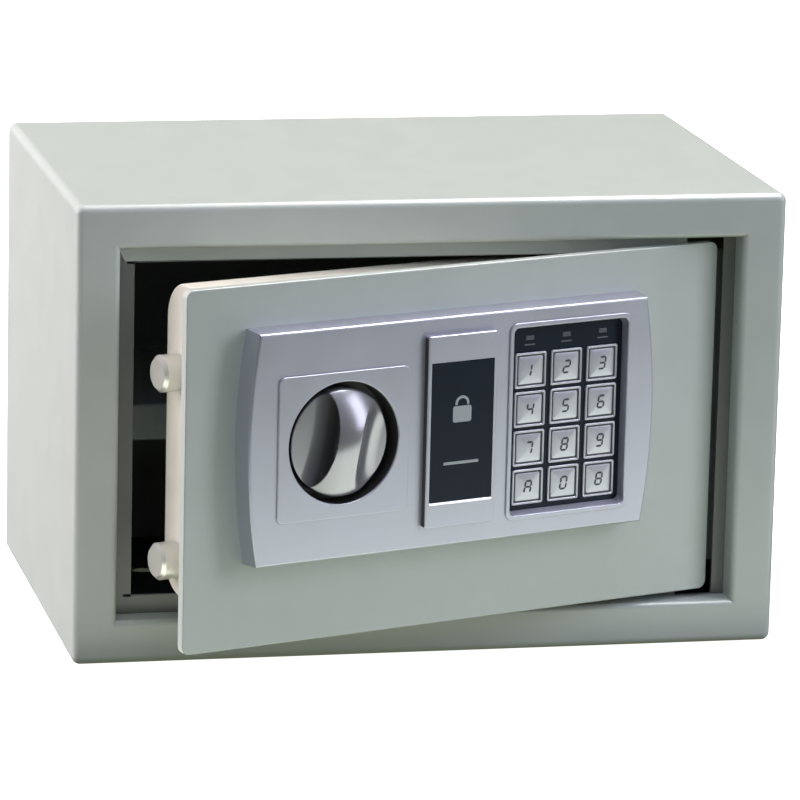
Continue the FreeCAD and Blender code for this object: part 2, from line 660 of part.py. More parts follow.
def bezel():
    base = bowed_face(BEZEL_W + 2 * DRAFT, BEZEL_H + 2 * DRAFT, BEZEL_BOW, PLATE_FRONT)
    face = bowed_face(BEZEL_W, BEZEL_H, BEZEL_BOW, FACE_Y)
    body = front_round(Part.makeLoft([base, face], True), 1.0, FACE_Y)
    raised_y = FACE_Y - RAISED
    pad = rounded(centred(KNOB_X, KNOB_Z - PAD_DROP, PAD, PAD, raised_y, FACE_Y + 1), PAD_R, Y)
    rim_w, rim_h = KEYPAD_W + 2 * KEYPAD_RIM, KEYPAD_H + 2 * KEYPAD_RIM
    rim = rounded(centred(KEYPAD_X, KEYPAD_Z, rim_w, rim_h, raised_y, FACE_Y + 1), KEYPAD_MOUTH_R + 1.5, Y)
    body = body.fuse([pad, rim])
    hollow_w, hollow_h = BEZEL_W - 2 * BEZEL_WALL, BEZEL_H - 2 * BEZEL_WALL
    wire = bowed_face(hollow_w, hollow_h, BEZEL_BOW, PLATE_FRONT + 1)
    hollow = Part.Face(wire).extrude(Vector(0, -1 - BEZEL_T + BEZEL_WALL, 0))
    keep = [along_y(x, z, BOSS_R, FACE_Y, PLATE_FRONT + 2) for x, z in BEZEL_SCREWS]
    keep.append(centred(KEYPAD_X, KEYPAD_Z, rim_w + 0.6, rim_h + 0.6, FACE_Y, PLATE_FRONT + 2))
    body = body.cut(hollow.cut(keep))
    body = body.cut(along_y(KNOB_X, KNOB_Z, WELL_R, raised_y - 1, PLATE_FRONT + 1))
    mouth = rounded_wire(KEYPAD_X, KEYPAD_Z, KEYPAD_W, KEYPAD_H, KEYPAD_MOUTH_R, raised_y)
    floor = rounded_wire(KEYPAD_X, KEYPAD_Z, KEYPAD_FLOOR_W, KEYPAD_FLOOR_H, KEYPAD_MOUTH_R, OVERLAY_Y)
    body = body.cut(Part.makeLoft([mouth, floor], True))
    body = front_round(body.removeSplitter(), 0.5, raised_y)
    body = body.cut(centred(KEYPAD_X, KEYPAD_Z, OVERLAY_W + 0.4, OVERLAY_H + 0.4, OVERLAY_Y, PLATE_FRONT + 1))
    body = body.cut(along_y(COVER_X, COVER_Z, LOCK_HOLE_R, FACE_Y - 1, PLATE_FRONT))
    for s in (-1, 1):
        slot = centred(COVER_X, COVER_Z + s * COVER_PEG, PEG_W + 0.6, PEG_T + 0.6, FACE_Y - 1, PLATE_FRONT)
        body = body.cut(slot)
    for x, z in BEZEL_SCREWS:
        body = body.cut(along_y(x, z, SCREW_R, PLATE_FRONT - 6, PLATE_FRONT + 1))
    return body.removeSplitter()


def bezel_screws():
    made = []
    for x, z in BEZEL_SCREWS:
        head = along_y(x, z, 3.2, PLATE_BACK, PLATE_BACK + 2)
        head = head.cut(box(x - 4, x + 4, PLATE_BACK + 1.2, PLATE_BACK + 3, z - 0.4, z + 0.4))
        made.append(join([head, along_y(x, z, SCREW_R - 0.02, PLATE_FRONT - 5.5, PLATE_BACK)]))
    return made


def key_centres():
    for row in range(4):
        for col in range(3):
            yield KEYPAD_X + (col - 1) * KEY_PITCH_X, KEY_ROW_TOP - row * KEY_PITCH_Z


LED_X = (KEYPAD_X - LED_PITCH, KEYPAD_X, KEYPAD_X + LED_PITCH)


def keypad_overlay():
    panel = rounded(centred(KEYPAD_X, KEYPAD_Z, OVERLAY_W, OVERLAY_H, OVERLAY_Y, OVERLAY_Y + 1), 2, Y)
    for x, z in key_centres():
        panel = panel.cut(centred(x, z, KEY_CAP + 0.6, KEY_CAP + 0.6, OVERLAY_Y - 1, OVERLAY_Y + 2))
    for x in LED_X:
        panel = panel.cut(centred(x, LED_Z, LED_W + 0.2, LED_H + 0.2, OVERLAY_Y - 1, OVERLAY_Y + 2))
    return panel


def key_frames():
    made = []
    top = OVERLAY_Y - RIM_H
    for x, z in key_centres():
        ring = rounded(centred(x, z, KEY_RIM, KEY_RIM, top, OVERLAY_Y), 0.8, Y)
        ring = front_round(ring, 0.4, top)
        made.append(ring.cut(centred(x, z, KEY_GROOVE, KEY_GROOVE, top - 1, OVERLAY_Y + 1)))
    return Part.makeCompound(made)


def key(x, z):
    top = OVERLAY_Y - CAP_H
    flange_w = KEY_CAP + 2 * KEY_FLANGE
    cap = rounded(centred(x, z, KEY_CAP, KEY_CAP, top, FLANGE_Y), 0.6, Y)
    cap = front_round(cap, 0.5, top)
    flange = centred(x, z, flange_w, flange_w, FLANGE_Y, FLANGE_Y + KEY_FLANGE_T)
    return join([cap, flange])


def keypad_mat():
    return centred(KEYPAD_X, KEYPAD_Z, OVERLAY_W - 1.3, OVERLAY_H - 1.3, KEY_MAT_Y, KEYPAD_PCB_Y)


def keypad_pcb():
    y1 = KEYPAD_PCB_Y + KEYPAD_PCB_T
    return centred(KEYPAD_X, KEYPAD_Z, OVERLAY_W - 0.8, OVERLAY_H - 0.8, KEYPAD_PCB_Y, y1)


def led_lenses():
    made = []
    front = OVERLAY_Y - 0.2
    for x in LED_X:
        lens = centred(x, LED_Z, LED_W, LED_H, front, KEY_MAT_Y)
        made.append(front_round(lens, 0.15, front))
    return Part.makeCompound(made)


def emergency_cover():
    plate = rounded(centred(COVER_X, COVER_Z, COVER_W, COVER_H, COVER_Y, FACE_Y), 1.2, Y)
    plate = front_round(plate, 0.7, COVER_Y)
    recess = centred(COVER_X, COVER_Z - BADGE_DROP, BADGE_W + 0.2, BADGE_H + 0.2, COVER_Y - 1, COVER_Y + BADGE_RECESS)
    pieces = [plate.cut(recess)]
    for s in (-1, 1):
        pieces.append(centred(COVER_X, COVER_Z + s * COVER_PEG, PEG_W, PEG_T, FACE_Y, PLATE_FRONT - 5))
    return join(pieces)


def badge():
    middle = COVER_Z - BADGE_DROP
    return rounded(centred(COVER_X, middle, BADGE_W, BADGE_H, COVER_Y + 0.2, COVER_Y + BADGE_RECESS), 0.8, Y)


def badge_emblem():
    """A plain padlock sign with a short bar below it."""
    y1 = COVER_Y + 0.2
    y0 = y1 - 0.15
    body = rounded(centred(COVER_X, COVER_Z + 7, 9, 7, y0, y1), 1, Y)
    arch = COVER_Z + 11.5
    hoop = tube_y(COVER_X, arch, 3.4, 2.3, y0, y1).common(centred(COVER_X, arch + 4.5, 10, 10, y0 - 1, y1 + 1))
    bar = centred(COVER_X, COVER_Z - 14, 17, 1.2, y0, y1)
    return Part.makeCompound([join([body, hoop]), bar])


def override_barrel():
    head = along_y(COVER_X, COVER_Z, 10.5, PLATE_FRONT - 3, PLATE_FRONT)
    body = along_y(COVER_X, COVER_Z, BARREL_R, PLATE_FRONT, PLUG_BACK - 2)
    return join([head, body]).cut(along_y(COVER_X, COVER_Z, PLUG_R + RUN, PLATE_FRONT - 4, PLUG_BACK))


def override_nut():
    corners = [math.radians(60 * i) for i in range(7)]
    points = [Vector(COVER_X + NUT_R * math.cos(a), PLATE_BACK, COVER_Z + NUT_R * math.sin(a)) for a in corners]
    nut = Part.Face(Part.makePolygon(points)).extrude(Vector(0, NUT_T, 0))
    return nut.cut(along_y(COVER_X, COVER_Z, BARREL_R, PLATE_BACK - 1, PLATE_BACK + NUT_T + 1))


def override_plug():
    plug = along_y(COVER_X, COVER_Z, PLUG_R, PLATE_FRONT - 2.6, PLUG_BACK)
    keyway = box(COVER_X - 0.8, COVER_X + 0.8, PLATE_FRONT - 4, PLATE_FRONT + 8, COVER_Z - 3.6, COVER_Z + 3.6)
    tail = rounded(box(COVER_X - 18, COVER_X + 4, PLUG_BACK, PLUG_BACK + 2, COVER_Z - 4, COVER_Z + 4), 3.5, Y)
    return join([plug.cut(keyway), tail])


# ---------------------------------------------------------------- electronics

PCB_TOP = PCB_Y + PCB_T
PCB_HOLES = [(x, z) for x in (PCB[0] + 4, PCB[1] - 4) for z in (PCB[2] + 4, PCB[3] - 4)]


def pcb_spacers():
    return Part.makeCompound([tube_y(x, z, 3.0, SCREW_R, PLATE_BACK, PCB_Y) for x, z in PCB_HOLES])


def main_pcb():
    board = rounded(box(PCB[0], PCB[1], PCB_Y, PCB_TOP, PCB[2], PCB[3]), 2, Y)
    for x, z in PCB_HOLES:
        board = board.cut(along_y(x, z, SCREW_R, PCB_Y - 1, PCB_Y + 3))
    return board


def pcb_screws():
    made = []
    for x, z in PCB_HOLES:
        head = along_y(x, z, 2.8, PCB_TOP, PCB_TOP + SCREW_HEAD)
        made.append(join([head, along_y(x, z, SCREW_R - 0.02, PCB_Y - 5, PCB_TOP)]))
    return made


def door_screws():
    """All the small screws of the door: lock box, front panel and circuit board."""
    return Part.makeCompound(box_screws() + bezel_screws() + pcb_screws())


def pcb_parts():
    chip = box(30, 48, PCB_TOP, PCB_TOP + 2.5, 100, 110)
    relay = box(24, 40, PCB_TOP, PCB_TOP + 9, 122, 138)
    plug = box(62, 80, PCB_TOP, PCB_TOP + 7, 132, 138)
    capacitor = along_y(74, 108, 4, PCB_TOP, PCB_TOP + 10)
    sounder = along_y(34, 72, 6, PCB_TOP, PCB_TOP + 7)
    switch = centred(*RESET, 6, 6, PCB_TOP, PCB_TOP + 5)
    return Part.makeCompound([chip, relay, plug, capacitor, sounder, switch])


def ribbon_cable():
    return box(*RIBBON_X, KEYPAD_PCB_Y + KEYPAD_PCB_T, PCB_Y, RIBBON_Z - RIBBON_T / 2, RIBBON_Z + RIBBON_T / 2)


def battery_tray():
    y0, y1 = TRAY_Y
    x0, x1 = BATTERY_X - TRAY_W / 2, BATTERY_X + TRAY_W / 2
    z0, z1 = BATTERY_Z - TRAY_H / 2, BATTERY_Z + TRAY_H / 2
    tray = box(x0, x1, y0, y1, z0, z1).cut(box(x0 + 1, x1 - 1, y0 + 1.5, y1 + 1, z0 + 1, z1 - 1))
    ribs = [box(x - 0.4, x + 0.4, y0 + 1, y0 + 5, z0, z1)
            for x in (BATTERY_X - CELL_PITCH, BATTERY_X, BATTERY_X + CELL_PITCH)]
    return join([tray] + ribs)


def cell_x():
    return [BATTERY_X + (i - 1.5) * CELL_PITCH for i in range(4)]


def batteries():
    made = []
    for i, x in enumerate(cell_x()):
        nub_z = BATTERY_Z + CELL_L / 2 if i % 2 == 0 else BATTERY_Z - CELL_L / 2 - 1
        cell = rod(x, CELL_Y, BATTERY_Z - CELL_L / 2, Z, CELL_R, CELL_L)
        made.append(join([cell, rod(x, CELL_Y, nub_z, Z, 2.6, 1)]))
    return Part.makeCompound(made)


def battery_contacts():
    made = []
    for x in cell_x():
        for s in (-1, 1):
            made.append(centred(x, BATTERY_Z + s * 26.1, 11, 1.4, CELL_Y - 7, CELL_Y + 5))
    return Part.makeCompound(made)


def battery_cover():
    top = BOX_BACK + 1.6
    rim_w, rim_h = BATTERY_MOUTH[0] - 0.6, BATTERY_MOUTH[1] - 0.6
    lid = rounded(centred(BATTERY_X, BATTERY_Z, rim_w + 6.6, rim_h + 6.6, BOX_BACK, top), 3, Y)
    lid = lid.makeFillet(0.6, edges(lid, lambda e: at(e, Y, top)))
    rim = centred(BATTERY_X, BATTERY_Z, rim_w, rim_h, BOX_BACK - 1.4, BOX_BACK)
    rim = rim.cut(centred(BATTERY_X, BATTERY_Z, rim_w - 3, rim_h - 3, BOX_BACK - 2, BOX_BACK))
    return join([lid, rim])


def reset_button():
    top = BOX_BACK + 1.2
    cap = along_y(*RESET, RESET_R, BOX_BACK - 8, top)
    cap = cap.makeFillet(0.8, edges(cap, lambda e: at(e, Y, top)))
    flange = along_y(*RESET, RESET_R + 1.5, BOX_BACK - 3.1, BOX_BACK - 1.6)
    stem = along_y(*RESET, RESET_R / 2, PCB_Y + 8.4, BOX_BACK - 8)
    return join([cap, flange, stem])


def wiring():
    power = lead([(60, -53.2, 98), (52, -58, 96), (58, -64, 112), (68, -70.3, 135)], 0.9)
    coil = lead([(SOL_X + 9.5, -70, SOLENOID_Z), (-50, -72, 66), (-20, -74, 62), (14, -74, 70), (20, -77.3, 84)], 0.9)
    return Part.makeCompound([power, coil])


# ---------------------------------------------------------------- output

def swing(shape):
    turned = shape.copy()
    turned.rotate(Vector(HINGE_X, HINGE_Y, 0), Z, DOOR_OPEN)
    return turned


CASE_PARTS = (case_shell, back_panel, side_channels, case_hinge_lugs, shelf, shelf_rails, floor_mat)
DOOR_PARTS = (door_plate, hinge_brackets, hinge_pins, lock_box, box_tabs, door_screws, nylon_bushes, bolt_guide,
              bolt_bar, drive_plate, bolts, carriage_screws, knob, spindle, drive_cam, cam_screw, solenoid_frame,
              solenoid_coil, plunger, bezel, keypad_overlay, key_frames, keypad_mat, keypad_pcb, led_lenses,
              emergency_cover, badge, badge_emblem, override_barrel, override_nut, override_plug, pcb_spacers,
              main_pcb, pcb_parts, ribbon_cable, battery_tray, batteries, battery_contacts, battery_cover,
              reset_button, wiring)

os.makedirs("parts", exist_ok=True)
for make in CASE_PARTS:
    make().exportStep("parts/" + make.__name__ + ".step")
for make in DOOR_PARTS:
    swing(make()).exportStep("parts/" + make.__name__ + ".step")
for name, (x, z) in zip(KEY_NAMES, key_centres()):
    swing(key(x, z)).exportStep("parts/key_" + name + ".step")
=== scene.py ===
import json
import math

import bmesh
import bpy
from mathutils import Matrix, Vector


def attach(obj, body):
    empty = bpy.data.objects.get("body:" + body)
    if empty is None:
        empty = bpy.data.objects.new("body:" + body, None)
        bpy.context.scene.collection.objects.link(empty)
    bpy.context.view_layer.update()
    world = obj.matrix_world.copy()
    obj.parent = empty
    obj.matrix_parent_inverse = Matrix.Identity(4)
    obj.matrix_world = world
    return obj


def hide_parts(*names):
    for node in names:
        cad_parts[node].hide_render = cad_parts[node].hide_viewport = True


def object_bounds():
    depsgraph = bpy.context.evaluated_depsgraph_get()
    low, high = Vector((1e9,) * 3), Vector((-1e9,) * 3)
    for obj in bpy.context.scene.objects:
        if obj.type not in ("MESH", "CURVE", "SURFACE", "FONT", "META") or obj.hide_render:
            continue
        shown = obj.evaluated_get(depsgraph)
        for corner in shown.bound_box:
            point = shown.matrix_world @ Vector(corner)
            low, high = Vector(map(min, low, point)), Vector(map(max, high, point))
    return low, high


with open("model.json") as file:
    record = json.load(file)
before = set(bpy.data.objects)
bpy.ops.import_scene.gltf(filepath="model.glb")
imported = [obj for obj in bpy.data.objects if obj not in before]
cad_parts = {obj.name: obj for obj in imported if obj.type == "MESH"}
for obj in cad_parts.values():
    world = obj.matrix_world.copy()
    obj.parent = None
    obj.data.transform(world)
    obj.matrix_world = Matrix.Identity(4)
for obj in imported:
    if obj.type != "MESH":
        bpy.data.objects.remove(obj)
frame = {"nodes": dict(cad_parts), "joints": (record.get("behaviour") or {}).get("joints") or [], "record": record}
cad_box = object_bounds()
nodes = frame["nodes"]
MM = 0.001

# ---------------------------------------------------------------- camera and stage

CAMERA_AT = (-0.4995, -2.2886, 0.6302)
CAMERA_YAW = 12.50         # degrees to the right of straight at the front
CAMERA_PITCH = 12.99       # degrees down
CAMERA_ROLL = 1.36
CAMERA_LENS = 241.7
CAMERA_SENSOR = 36
CAMERA_CLIP = (0.05, 50)
FLOOR_HALF = 6.0
FLOOR_DROP = 0.0004        # keeps the floor clear of the underside


def make_camera():
    """Camera at the viewing angle of the reference, looking slightly down and to the right."""
    yaw, pitch, roll = (math.radians(a) for a in (CAMERA_YAW, CAMERA_PITCH, CAMERA_ROLL))
    ahead = Vector((math.sin(yaw) * math.cos(pitch), math.cos(yaw) * math.cos(pitch), -math.sin(pitch)))
    right = Vector((math.cos(yaw), -math.sin(yaw), 0))
    up = right.cross(ahead)
    side = right * math.cos(roll) + up * math.sin(roll)
    top = up * math.cos(roll) - right * math.sin(roll)
    data = bpy.data.cameras.new("camera")
    data.lens = CAMERA_LENS
    data.sensor_width = CAMERA_SENSOR
    data.clip_start, data.clip_end = CAMERA_CLIP
    camera = bpy.data.objects.new("camera", data)
    bpy.context.scene.collection.objects.link(camera)
    camera.matrix_world = Matrix((
        (side.x, top.x, -ahead.x, CAMERA_AT[0]),
        (side.y, top.y, -ahead.y, CAMERA_AT[1]),
        (side.z, top.z, -ahead.z, CAMERA_AT[2]),
        (0, 0, 0, 1),
    ))
    bpy.context.scene.camera = camera


def area_light(name, at, towards, size, power, colour=(1, 1, 1), reach="both"):
    """Soft rectangular light; reach limits it to the diffuse or the glossy part of the surfaces."""
    data = bpy.data.lights.new(name, "AREA")
    data.shape = "RECTANGLE"
    data.size, data.size_y = size
    data.energy = power
    data.color = colour
    light = bpy.data.objects.new(name, data)
    light.location = at
    light.rotation_mode = "QUATERNION"
    light.rotation_quaternion = (Vector(towards) - Vector(at)).to_track_quat("-Z", "Y")
    light.visible_camera = False
    light.visible_diffuse = reach != "glossy"
    light.visible_glossy = reach != "diffuse"
    bpy.context.scene.collection.objects.link(light)


def make_world(lobes, ambient):
    """Dim room light plus soft lobes, each (direction, sharpness, colour)."""
    world = bpy.data.worlds.new("studio")
    world.use_nodes = True
    bpy.context.scene.world = world
    tree = world.node_tree
    tree.nodes.clear()
    out = tree.nodes.new("ShaderNodeOutputWorld")
    where = tree.nodes.new("ShaderNodeTexCoord")
    total = tree.nodes.new("ShaderNodeBackground")
    total.inputs["Color"].default_value = (*ambient, 1)
    total = total.outputs[0]
    for towards, sharp, colour in lobes:
        along = tree.nodes.new("ShaderNodeVectorMath")
        along.operation = "DOT_PRODUCT"
        along.inputs[1].default_value = Vector(towards).normalized()
        tree.links.new(where.outputs["Generated"], along.inputs[0])
        power = tree.nodes.new("ShaderNodeMath")
        power.operation = "POWER"
        power.inputs[1].default_value = sharp
        clip = tree.nodes.new("ShaderNodeMath")
        clip.operation = "MAXIMUM"
        clip.inputs[1].default_value = 0
        tree.links.new(along.outputs["Value"], clip.inputs[0])
        tree.links.new(clip.outputs[0], power.inputs[0])
        glow = tree.nodes.new("ShaderNodeBackground")
        glow.inputs["Color"].default_value = (*colour, 1)
        tree.links.new(power.outputs[0], glow.inputs["Strength"])
        both = tree.nodes.new("ShaderNodeAddShader")
        tree.links.new(total, both.inputs[0])
        tree.links.new(glow.outputs[0], both.inputs[1])
        total = both.outputs[0]
    tree.links.new(total, out.inputs["Surface"])


def make_stage():
    """Plain white floor that adds no bounce or reflection of its own."""
    mesh = bpy.data.meshes.new("floor")
    corners = [(x * FLOOR_HALF, y * FLOOR_HALF, -FLOOR_DROP) for x, y in ((-1, -1), (1, -1), (1, 1), (-1, 1))]
    mesh.from_pydata(corners, [], [(0, 1, 2, 3)])
    floor = bpy.data.objects.new("floor", mesh)
    bpy.context.scene.collection.objects.link(floor)
    floor.data.materials.append(surface("floor_white", (0.9, 0.9, 0.9), 0.9, tone=0.01, glow=1.0))
    floor.visible_diffuse = False
    floor.visible_glossy = False


# ---------------------------------------------------------------- materials

DOOR_LEFT_NORMAL = (-0.952, -0.306, 0)          # square to the left edge of the door as it stands open; faces turned this way get painted shade (knob, cover edge) or painted light (bezel end wall)
SHADE_FROM, SHADE_TO = 0.05, 0.75      # how far a face turns this way: painted shade starts, painted shade is full
SHADE_KEEPS = 0.15                    # what is left of the colour where the painted shade is full
TONE_SPREAD = (0.3, 0.7)
GRAIN_HEIGHT = 0.0002


def surface(name, colour, rough, metal=0.0, coat=0.0, tone=0.04, tone_scale=60.0, rough_spread=0.05,
            bump=0.0, bump_scale=900.0, spec=0.5, glow=0.0, shade_towards=None):
    """A procedural finish: slow colour and roughness drift plus an optional fine surface grain.

    Faces turned towards a given direction, the unlit side of the room, can get painted shade: their colour is
    darkened.
    """
    made = bpy.data.materials.new(name)
    made.use_nodes = True
    tree = made.node_tree
    shader = tree.nodes["Principled BSDF"]
    shader.inputs["Metallic"].default_value = metal
    shader.inputs["Coat Weight"].default_value = coat
    shader.inputs["Coat Roughness"].default_value = 0.1
    shader.inputs["Specular IOR Level"].default_value = spec
    if glow:
        shader.inputs["Emission Color"].default_value = (1, 1, 1, 1)
        shader.inputs["Emission Strength"].default_value = glow
    where = tree.nodes.new("ShaderNodeTexCoord")
    drift = tree.nodes.new("ShaderNodeTexNoise")
    drift.inputs["Scale"].default_value = tone_scale
    drift.inputs["Detail"].default_value = 4
    tree.links.new(where.outputs["Object"], drift.inputs["Vector"])
    ramp = tree.nodes.new("ShaderNodeValToRGB")
    dark, light = ramp.color_ramp.elements
    dark.position, light.position = TONE_SPREAD
    dark.color = (*(c * (1 - tone) for c in colour), 1)
    light.color = (*(min(1, c * (1 + tone)) for c in colour), 1)
    tree.links.new(drift.outputs["Fac"], ramp.inputs["Fac"])
    colour_out = ramp.outputs["Color"]
    # painted shade: darken the colour of faces turned towards the given direction
    if shade_towards:
        facing = tree.nodes.new("ShaderNodeVectorMath")
        facing.operation = "DOT_PRODUCT"
        facing.inputs[1].default_value = shade_towards
        tree.links.new(tree.nodes.new("ShaderNodeNewGeometry").outputs["Normal"], facing.inputs[0])
        fade = tree.nodes.new("ShaderNodeMapRange")
        fade.inputs["From Min"].default_value, fade.inputs["From Max"].default_value = SHADE_FROM, SHADE_TO
        fade.inputs["To Min"].default_value, fade.inputs["To Max"].default_value = 1.0, SHADE_KEEPS
        tree.links.new(facing.outputs["Value"], fade.inputs["Value"])
        dimmed = tree.nodes.new("ShaderNodeVectorMath")
        dimmed.operation = "SCALE"
        tree.links.new(colour_out, dimmed.inputs[0])
        tree.links.new(fade.outputs["Result"], dimmed.inputs["Scale"])
        colour_out = dimmed.outputs["Vector"]
    tree.links.new(colour_out, shader.inputs["Base Color"])
    spread = tree.nodes.new("ShaderNodeMapRange")
    spread.inputs["To Min"].default_value = max(0.02, rough - rough_spread)
    spread.inputs["To Max"].default_value = min(1.0, rough + rough_spread)
    tree.links.new(drift.outputs["Fac"], spread.inputs["Value"])
    tree.links.new(spread.outputs["Result"], shader.inputs["Roughness"])
    if bump:
        grain = tree.nodes.new("ShaderNodeTexNoise")
        grain.inputs["Scale"].default_value = bump_scale
        grain.inputs["Detail"].default_value = 3
        tree.links.new(where.outputs["Object"], grain.inputs["Vector"])
        relief = tree.nodes.new("ShaderNodeBump")
        relief.inputs["Strength"].default_value = bump
        relief.inputs["Distance"].default_value = GRAIN_HEIGHT
        tree.links.new(grain.outputs["Fac"], relief.inputs["Height"])
        tree.links.new(relief.outputs["Normal"], shader.inputs["Normal"])
    return made


def finishes():
    """Every finish by name; the record's material slots come under their own names."""
    return {
        "case_paint": surface("case_paint", (0.50, 0.56, 0.53), 0.38, tone=0.02, bump=0.12, bump_scale=1400),
        # painted shade: the case's inner faces darkened
        "case_inside_painted_shade": surface("case_inside_painted_shade", (0.28, 0.30, 0.28), 0.5, tone=0.02, bump=0.12, bump_scale=1400),
        # painted shadow: the open door's shadow on the stop strip
        "stop_painted_shadow": surface("stop_painted_shadow", (0.12, 0.13, 0.12), 0.45, tone=0.02, bump=0.12, bump_scale=1400),
        "cream_paint": surface("cream_paint", (0.80, 0.78, 0.68), 0.45, bump=0.12, bump_scale=1400),
        "felt": surface("felt", (0.08, 0.08, 0.085), 0.95, bump=0.8, bump_scale=1500),
        "zinc_steel": surface("zinc_steel", (0.55, 0.54, 0.50), 0.35, metal=1.0, bump=0.05),
        "bolt_steel": surface("bolt_steel", (0.62, 0.62, 0.58), 0.35, metal=0.45),
        "nylon": surface("nylon", (0.75, 0.74, 0.66), 0.5),
        "silver_plastic": surface("silver_plastic", (0.345, 0.362, 0.438), 0.35, metal=0.35, tone=0.02, bump=0.03),
        # painted light: a lighter silver for the bezel's left end wall
        "bezel_flank_painted_light": surface("bezel_flank_painted_light", (0.48, 0.51, 0.60), 0.35, metal=0.35, tone=0.02, bump=0.03),
        "dark_panel": surface("dark_panel", (0.007, 0.013, 0.025), 0.35, spec=0.10),
        "emblem_print": surface("emblem_print", (0.36, 0.41, 0.43), 0.4),
        "groove_grey": surface("groove_grey", (0.10, 0.105, 0.115), 0.6, spec=0.2),
        "mark_grey": surface("mark_grey", (0.06, 0.08, 0.10), 0.5),
        "key_rubber": surface("key_rubber", (0.08, 0.08, 0.09), 0.7),
        # the knob's silver, with painted shade on faces turned to the door's left
        "knob_silver_painted_shade": surface("knob_silver_painted_shade", (0.265, 0.272, 0.305), 0.23, metal=0.45, tone=0.02, bump=0.02, shade_towards=DOOR_LEFT_NORMAL),
        "key_silver": surface("key_silver", (0.37, 0.39, 0.445), 0.34, metal=0.35, tone=0.02),
        "legend_grey": surface("legend_grey", (0.06, 0.065, 0.075), 0.5, spec=0.2),
        "circuit_board": surface("circuit_board", (0.02, 0.16, 0.06), 0.35),
        "component_black": surface("component_black", (0.02, 0.02, 0.02), 0.45),
        "smoked_lens": surface("smoked_lens", (0.10, 0.12, 0.15), 0.15, coat=0.5),
        "coil_wrap": surface("coil_wrap", (0.45, 0.16, 0.05), 0.3),
        "cable_grey": surface("cable_grey", (0.35, 0.35, 0.36), 0.5),
        "wire_red": surface("wire_red", (0.40, 0.03, 0.02), 0.4),
        "brass": surface("brass", (0.60, 0.42, 0.16), 0.3, metal=1.0),
        "battery_wrap": surface("battery_wrap", (0.04, 0.08, 0.24), 0.25, coat=0.4),
        "button_red": surface("button_red", (0.45, 0.03, 0.02), 0.3),
    }


def dress_nodes():
    """Give each CAD node the finish of its material slot."""
    for part in frame["record"]["subparts"]:
        part_node = nodes[part["node"]]
        part_node.data.materials.clear()
        part_node.data.materials.append(finish[part["material_slot"]])


def shade_faces(name, material, chosen):
    """Give the faces of a node picked by their middle and normal a finish of their own; here these finishes are
    painted shade, painted shadow or painted light.
    """
    node = nodes[name]
    index = len(node.data.materials)
    node.data.materials.append(finish[material])
    turn = node.matrix_world.to_3x3()
    for face in node.data.polygons:
        if chosen(node.matrix_world @ face.center, (turn @ face.normal).normalized()):
            face.material_index = index


SHEET_LINE = 0.0015        # a line just inside the case's steel sheet
STOP_FRONT, STOP_BACK = -0.0885, -0.0865
STOP_HALF_W, STOP_TOP = 0.137, 0.1735
BEZEL_LEFT = -0.08         # left of this the only bezel faces turned to the door's left are its end wall


def in_case(middle, normal):
    """Inner faces of the case, behind the stop strip; they get painted shade, a darker paint."""
    low, high = cad_box
    return (low[0] + SHEET_LINE < middle.x < high[0] - SHEET_LINE and STOP_BACK < middle.y < high[1] - SHEET_LINE
            and SHEET_LINE < middle.z < high[2] - SHEET_LINE)


def on_stop(middle, normal):
    """Front faces of the strip that the door closes against, below its top strip; they get the open door's painted
    shadow.
    """
    return STOP_FRONT < middle.y < STOP_BACK and middle.z < STOP_TOP and abs(middle.x) < STOP_HALF_W


def on_edge(middle, normal):
    """Left edge wall of a piece on the door; on the emergency cover it is painted black as painted shade."""
    return normal.dot(Vector(DOOR_LEFT_NORMAL)) > 0.9


def on_flank(middle, normal):
    """Bowed left end wall of the bezel, which gets painted light: a lighter silver."""
    return normal.dot(Vector(DOOR_LEFT_NORMAL)) > 0.85 and middle.x < BEZEL_LEFT


# ---------------------------------------------------------------- door placement

hinge = next(j for j in frame["joints"] if j["name"] == "door_hinge")
HINGE = Vector(hinge["pos_m"])
DOOR_OPEN = -math.radians(hinge["range_deg"][0])
TURN = Matrix.Translation(HINGE) @ Matrix.Rotation(DOOR_OPEN, 4, "Z") @ Matrix.Translation(-HINGE)
SHUT = TURN.inverted()


def shut_box(name):
    """Spans of a node across, through and up the shut door, in millimetres to the nearest micrometre."""
    points = [SHUT @ v.co / MM for v in nodes[name].data.vertices]
    return [(round(min(p[i] for p in points), 3), round(max(p[i] for p in points), 3)) for i in range(3)]


def middle_of(span):
    return round((span[0] + span[1]) / 2, 3)


PLATE_Y = shut_box("door_plate")[1][0] * MM         # front of the door plate with the door shut


def stands_out(name):
    """How far the front of a node stands out of the door plate, in millimetres."""
    return round(PLATE_Y / MM - shut_box(name)[1][0], 3)


def spot(x, z, out):
    """A point on the shut door, millimetres: across, up, and how far it stands out of the plate."""
    return Vector((x * MM, PLATE_Y - out * MM, z * MM))


def piece(name, verts, faces, material, body, smooth=True, slot=None):
    """A visible piece from points on the shut door, swung open with the door and riding on a body."""
    mesh = bpy.data.meshes.new(name)
    mesh.from_pydata([TURN @ v for v in verts], [], faces)
    mesh.update()
    work = bmesh.new()
    work.from_mesh(mesh)
    bmesh.ops.recalc_face_normals(work, faces=work.faces)
    work.to_mesh(mesh)
    work.free()
    for f in mesh.polygons:
        f.use_smooth = smooth
    made = bpy.data.objects.new(name, mesh)
    bpy.context.scene.collection.objects.link(made)
    made.data.materials.append(finish[material])
    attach(made, body)
    return made


def grid_faces(rows, cols):
    """Quads between closed rows of points."""
    faces = []
    for i in range(rows - 1):
        for j in range(cols):
            k = (j + 1) % cols
            faces.append((i * cols + j, i * cols + k, (i + 1) * cols + k, (i + 1) * cols + j))
    return faces


